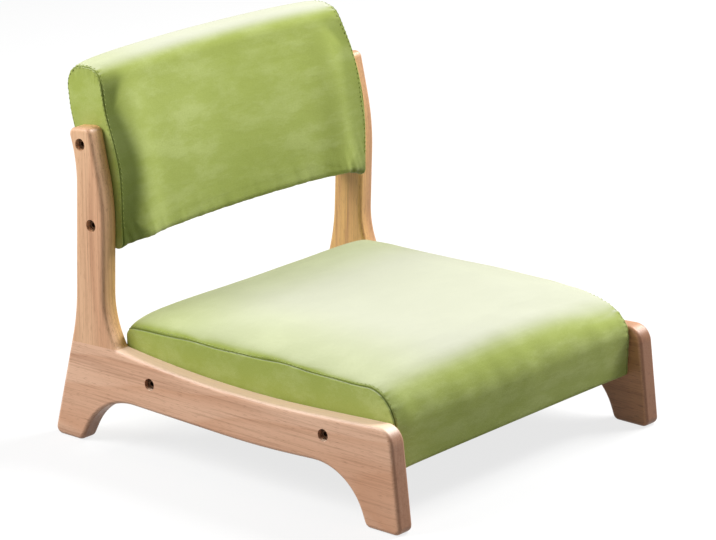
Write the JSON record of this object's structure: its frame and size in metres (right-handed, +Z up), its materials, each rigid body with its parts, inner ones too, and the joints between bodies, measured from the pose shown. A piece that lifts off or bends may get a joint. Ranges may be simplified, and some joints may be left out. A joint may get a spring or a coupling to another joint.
{
  "type": "floor chair",
  "caption": "Low legless lounge chair: two bolted wooden side frames with arched feet carry a padded seat and a curved padded backrest.",
  "frame": {"origin": "on the floor, under the middle of the chair's overall width and depth", "axes": "+Z up, -Y to the front where the sitter's legs go, +X to the chair's right side as seen from its front"},
  "size_m": [0.46, 0.5108, 0.424],
  "materials": {
    "frame_timber": "clear satin lacquer on pale pinkish tan solid wood, arrises rounded",
    "dowel_timber": "plain beech dowel",
    "seat_frame_timber": "planed softwood, unfinished",
    "plywood": "birch plywood, unfinished",
    "suede_cloth": "lime olive green suede-like cloth with a short soft pile",
    "foam": "upholstery foam, modelled as a full solid",
    "dust_cloth": "thin black non-woven cloth",
    "bronzed_steel": "dark bronze plated steel",
    "zinc_steel": "zinc plated steel"
  },
  "bodies": {
    "root": {"left_side_rail": "frame_timber", "right_side_rail": "frame_timber", "left_upright": "frame_timber", "right_upright": "frame_timber", "upright_dowels": "dowel_timber", "seat_bolts": "bronzed_steel", "seat_washers": "bronzed_steel", "seat_inserts": "zinc_steel", "back_bolts": "bronzed_steel", "back_washers": "bronzed_steel", "back_inserts": "zinc_steel", "seat_left_rail": "seat_frame_timber", "seat_right_rail": "seat_frame_timber", "seat_front_rail": "seat_frame_timber", "seat_rear_rail": "seat_frame_timber", "seat_corner_blocks": "seat_frame_timber", "seat_board": "plywood", "seat_foam": "foam", "seat_cover": "suede_cloth", "seat_left_gusset": "suede_cloth", "seat_right_gusset": "suede_cloth", "seat_dust_cover": "dust_cloth", "back_panel": "plywood", "back_left_post": "seat_frame_timber", "back_right_post": "seat_frame_timber", "back_panel_screws": "zinc_steel", "back_foam": "foam", "back_cover": "suede_cloth", "back_left_end_panel": "suede_cloth", "back_right_end_panel": "suede_cloth"}
  },
  "joints": []
}
